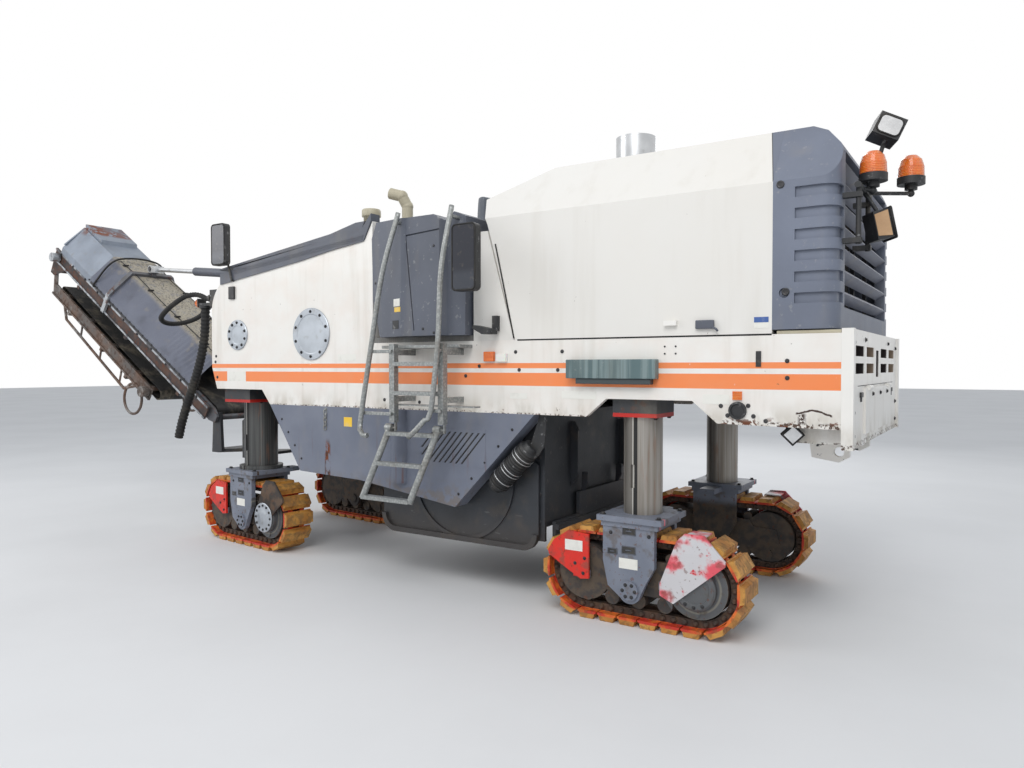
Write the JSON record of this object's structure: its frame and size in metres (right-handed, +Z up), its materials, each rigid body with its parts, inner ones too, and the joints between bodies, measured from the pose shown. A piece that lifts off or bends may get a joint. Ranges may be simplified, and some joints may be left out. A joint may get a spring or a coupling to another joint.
{
  "type": "cold planer milling machine",
  "caption": "Cold planer on four lifting, steered track units, with a milling drum between them, a ladder-access platform and a folding loading conveyor in front.",
  "frame": {"origin": "on the ground under the middle of the whole machine with its conveyor folded", "axes": "+X forward towards the loading conveyor, +Y to the machine's left, +Z up"},
  "size_m": [9.857, 2.712, 3.4437],
  "materials": {
    "white_paint": "warm off-white paint, weathered",
    "grey_paint": "blue-grey paint",
    "frame_paint": "dark grey paint, dusty",
    "housing_paint": "dark grey paint, scraped",
    "red_paint": "red paint, chipped",
    "cover_metal": "satin",
    "grey_plastic": "grained moulded plastic",
    "black_plastic": "black",
    "galvanised": "galvanised, dull",
    "bright_metal": "bright",
    "orange_lens": "amber",
    "drum_steel": "rusty",
    "belt_rubber": "dusty",
    "canvas": "coated canvas, dusty",
    "column_steel": "polished, stained",
    "track_pads": "yellow pads on red shoes, muddy",
    "seat_vinyl": "vinyl",
    "hose_rubber": "corrugated"
  },
  "bodies": {
    "chassis": {"main_frame": "frame_paint", "guide_flanges": "red_paint", "side_shell": "white_paint", "rear_panel": "white_paint", "front_body": "white_paint", "tank_trim": "grey_paint", "tank_covers": "cover_metal", "engine_block": "frame_paint", "bulkhead": "white_paint", "platform_floor": "galvanised", "side_boxes": "grey_plastic", "console": "black_plastic", "seats": "seat_vinyl", "handrails": "galvanised", "upper_ladders": "galvanised", "mirrors": "black_plastic", "lower_panels": "grey_paint", "drum_housing": "housing_paint", "primary_conveyor": "frame_paint", "sill_fittings": "black_plastic", "side_lamps": "orange_lens", "hose_loop": "hose_rubber", "hose_drop": "hose_rubber", "filler_and_intake": "bright_metal", "stay_bracket": "frame_paint"},
    "hood": {"hood": "white_paint", "exhaust": "bright_metal", "radiator_surround": "grey_plastic", "radiator_grille": "grey_plastic", "light_mast": "black_plastic", "lamps": "orange_lens"},
    "drum": {"drum": "drum_steel"},
    "scraper": {"scraper": "housing_paint"},
    "side_plate_left": {"side_plate_left": "housing_paint"},
    "side_plate_right": {"side_plate_right": "housing_paint"},
    "ladder_left": {"lower_ladder_left": "galvanised"},
    "ladder_right": {"lower_ladder_right": "galvanised"},
    "slew_frame": {"slew_bracket": "frame_paint"},
    "cylinder_barrel": {"lift_barrel": "grey_paint"},
    "cylinder_rod": {"lift_rod": "bright_metal"},
    "boom": {"boom_frame": "grey_paint", "boom_belt": "belt_rubber", "boom_cover": "canvas", "boom_end_box": "cover_metal"},
    "folding_section": {"fold_frame": "grey_paint", "fold_belt": "belt_rubber"},
    "leg_rear_left": {"column_rear_left": "column_steel"},
    "unit_rear_left": {"undercarriage_rear_left": "frame_paint", "track_rear_left": "track_pads"},
    "leg_rear_right": {"column_rear_right": "column_steel"},
    "unit_rear_right": {"undercarriage_rear_right": "frame_paint", "track_rear_right": "track_pads"},
    "leg_front_left": {"column_front_left": "column_steel"},
    "unit_front_left": {"undercarriage_front_left": "frame_paint", "track_front_left": "track_pads"},
    "leg_front_right": {"column_front_right": "column_steel"},
    "unit_front_right": {"undercarriage_front_right": "frame_paint", "track_front_right": "track_pads"}
  },
  "joints": [
    {"name": "hood_tilt", "type": "hinge", "parent": "chassis", "child": "hood", "pos_m": [-2.185, 0, 2.66], "axis": [0, 1, 0], "range_deg": [0, 45]},
    {"name": "drum_spin", "type": "hinge", "parent": "chassis", "child": "drum", "pos_m": [-1.905, 0, 0.83], "axis": [0, 1, 0], "continuous": true},
    {"name": "scraper_lift", "type": "slide", "parent": "chassis", "child": "scraper", "axis": [0, 0, 1], "range_m": [0, 0.2]},
    {"name": "side_plate_left_lift", "type": "slide", "parent": "chassis", "child": "side_plate_left", "axis": [0, 0, 1], "range_m": [-0.2, 0.08]},
    {"name": "ladder_left_fold", "type": "hinge", "parent": "chassis", "child": "ladder_left", "pos_m": [-1.785, 1.23, 1.21], "axis": [1, 0, 0], "range_deg": [0, 85]},
    {"name": "side_plate_right_lift", "type": "slide", "parent": "chassis", "child": "side_plate_right", "axis": [0, 0, 1], "range_m": [-0.2, 0.08]},
    {"name": "ladder_right_fold", "type": "hinge", "parent": "chassis", "child": "ladder_right", "pos_m": [-1.785, -1.23, 1.21], "axis": [-1, 0, 0], "range_deg": [0, 85]},
    {"name": "slew", "type": "hinge", "parent": "chassis", "child": "slew_frame", "pos_m": [1.515, 0, 0.75], "axis": [0, 0, 1], "range_deg": [-40, 40]},
    {"name": "luff", "type": "hinge", "parent": "slew_frame", "child": "boom", "pos_m": [1.695, 0, 1.12], "axis": [0, -1, 0], "range_deg": [-10, 5]},
    {"name": "cylinder_tilt", "type": "hinge", "parent": "slew_frame", "child": "cylinder_barrel", "pos_m": [1.515, 0, 2.65], "axis": [0, -1, 0], "range_deg": [-12, 12]},
    {"name": "cylinder_stroke", "type": "slide", "parent": "cylinder_barrel", "child": "cylinder_rod", "axis": [0.9952, 0, 0.0974], "range_m": [-0.3, 0.4]},
    {"name": "fold", "type": "hinge", "parent": "boom", "child": "folding_section", "pos_m": [4.84404, 0, 2.87717], "axis": [0, -1, 0], "range_deg": [0, 175]},
    {"name": "lift_rear_left", "type": "slide", "parent": "chassis", "child": "leg_rear_left", "axis": [0, 0, 1], "range_m": [-0.05, 0.55]},
    {"name": "steer_rear_left", "type": "hinge", "parent": "leg_rear_left", "child": "unit_rear_left", "pos_m": [-3.355, 0.82, 0.3], "axis": [0, 0, 1], "range_deg": [-15, 15]},
    {"name": "lift_rear_right", "type": "slide", "parent": "chassis", "child": "leg_rear_right", "axis": [0, 0, 1], "range_m": [-0.05, 0.55]},
    {"name": "steer_rear_right", "type": "hinge", "parent": "leg_rear_right", "child": "unit_rear_right", "pos_m": [-3.355, -0.82, 0.3], "axis": [0, 0, 1], "range_deg": [-15, 15]},
    {"name": "lift_front_left", "type": "slide", "parent": "chassis", "child": "leg_front_left", "axis": [0, 0, 1], "range_m": [-0.05, 0.55]},
    {"name": "steer_front_left", "type": "hinge", "parent": "leg_front_left", "child": "unit_front_left", "pos_m": [0.54, 0.7, 0.3], "axis": [0, 0, 1], "range_deg": [-9, 21]},
    {"name": "lift_front_right", "type": "slide", "parent": "chassis", "child": "leg_front_right", "axis": [0, 0, 1], "range_m": [-0.05, 0.55]},
    {"name": "steer_front_right", "type": "hinge", "parent": "leg_front_right", "child": "unit_front_right", "pos_m": [0.54, -0.7, 0.3], "axis": [0, 0, 1], "range_deg": [-9, 21]}
  ],
  "couplings": [
    {"joint": "steer_rear_right", "follows": "steer_rear_left", "ratio": 1},
    {"joint": "steer_front_right", "follows": "steer_front_left", "ratio": 1},
    {"joint": "cylinder_tilt", "follows": "luff", "ratio": 0.9441},
    {"joint": "cylinder_stroke", "follows": "luff", "m_per_rad": -1.5347}
  ]
}
